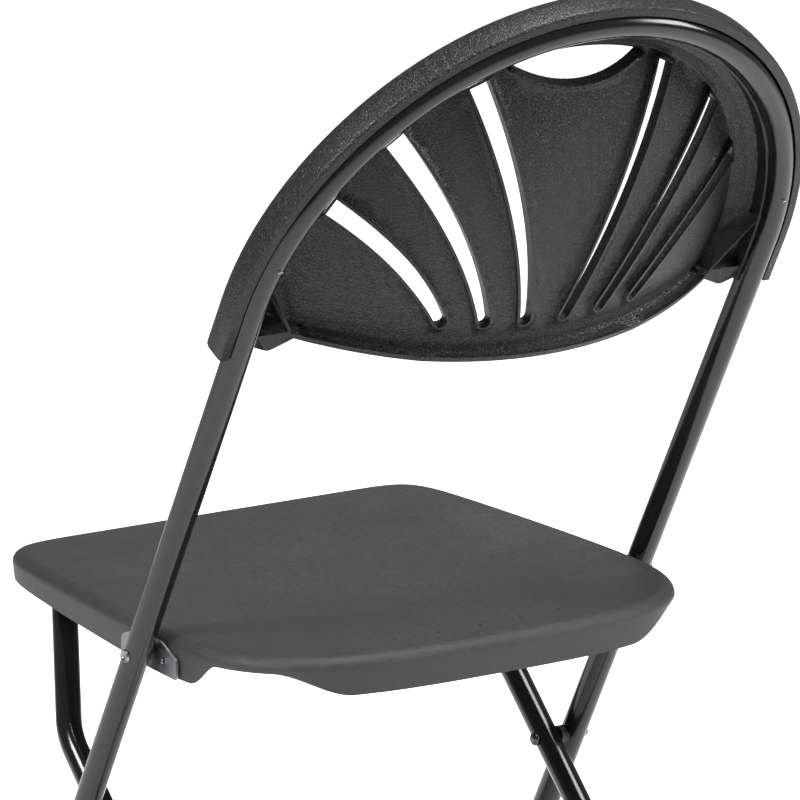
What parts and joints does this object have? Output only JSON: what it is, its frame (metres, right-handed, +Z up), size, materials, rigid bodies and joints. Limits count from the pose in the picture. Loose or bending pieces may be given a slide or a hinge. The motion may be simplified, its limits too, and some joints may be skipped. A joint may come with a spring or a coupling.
{
  "type": "folding chair",
  "caption": "Folding chair with a dished plastic back with fan slots and a hand opening, a moulded plastic seat and crossed tube legs that fold flat.",
  "frame": {"origin": "on the floor, under the middle of the chair's bounding box", "axes": "+X to the sitter's left, the sitter faces -Y, +Z up"},
  "size_m": [0.464, 0.5, 0.8824],
  "materials": {
    "black_paint": "gloss black powder coat",
    "zinc": "zinc-plated steel",
    "screw_zinc": "bright zinc-plated screw",
    "dark_rivet": "black-coated rivet",
    "black_plastic": "moulded black plastic",
    "back_plastic": "fine-grained black polypropylene",
    "seat_plastic": "fine-grained charcoal polypropylene"
  },
  "bodies": {
    "frame": {"main_frame_tube": "black_paint", "front_crossbar": "black_paint", "crossbar_rivets": "zinc", "front_foot_left": "black_plastic", "front_foot_right": "black_plastic", "backrest_shell": "back_plastic", "backrest_screws": "screw_zinc", "seat_pivot_rivet_left": "zinc", "seat_pivot_rivet_right": "zinc", "seat_pivot_washer_left": "black_plastic", "seat_pivot_washer_right": "black_plastic", "leg_pivot_rivet_left": "dark_rivet", "leg_pivot_rivet_right": "dark_rivet", "leg_pivot_spacer_left": "black_plastic", "leg_pivot_spacer_right": "black_plastic"},
    "seat": {"seat_shell": "seat_plastic", "seat_bracket_left": "zinc", "seat_bracket_right": "zinc", "bracket_screws": "screw_zinc", "slide_rail_left": "zinc", "slide_rail_right": "zinc", "rail_screws": "screw_zinc"},
    "rear_legs": {"rear_leg_tube": "black_paint", "rear_crossbar": "black_paint", "rear_foot_left": "black_plastic", "rear_foot_right": "black_plastic", "slide_sleeve_left": "black_plastic", "slide_sleeve_right": "black_plastic"}
  },
  "joints": [
    {"name": "seat_fold", "type": "hinge", "parent": "frame", "child": "seat", "pos_m": [0, -0.0104, 0.405], "axis": [-1, 0, 0], "range_deg": [0, 112]},
    {"name": "rear_leg_fold", "type": "hinge", "parent": "frame", "child": "rear_legs", "pos_m": [0, -0.0884, 0.2619], "axis": [-1, 0, 0], "range_deg": [0, 69.5]}
  ],
  "couplings": [
    {"joint": "rear_leg_fold", "follows": "seat_fold", "ratio": 0.6205}
  ]
}
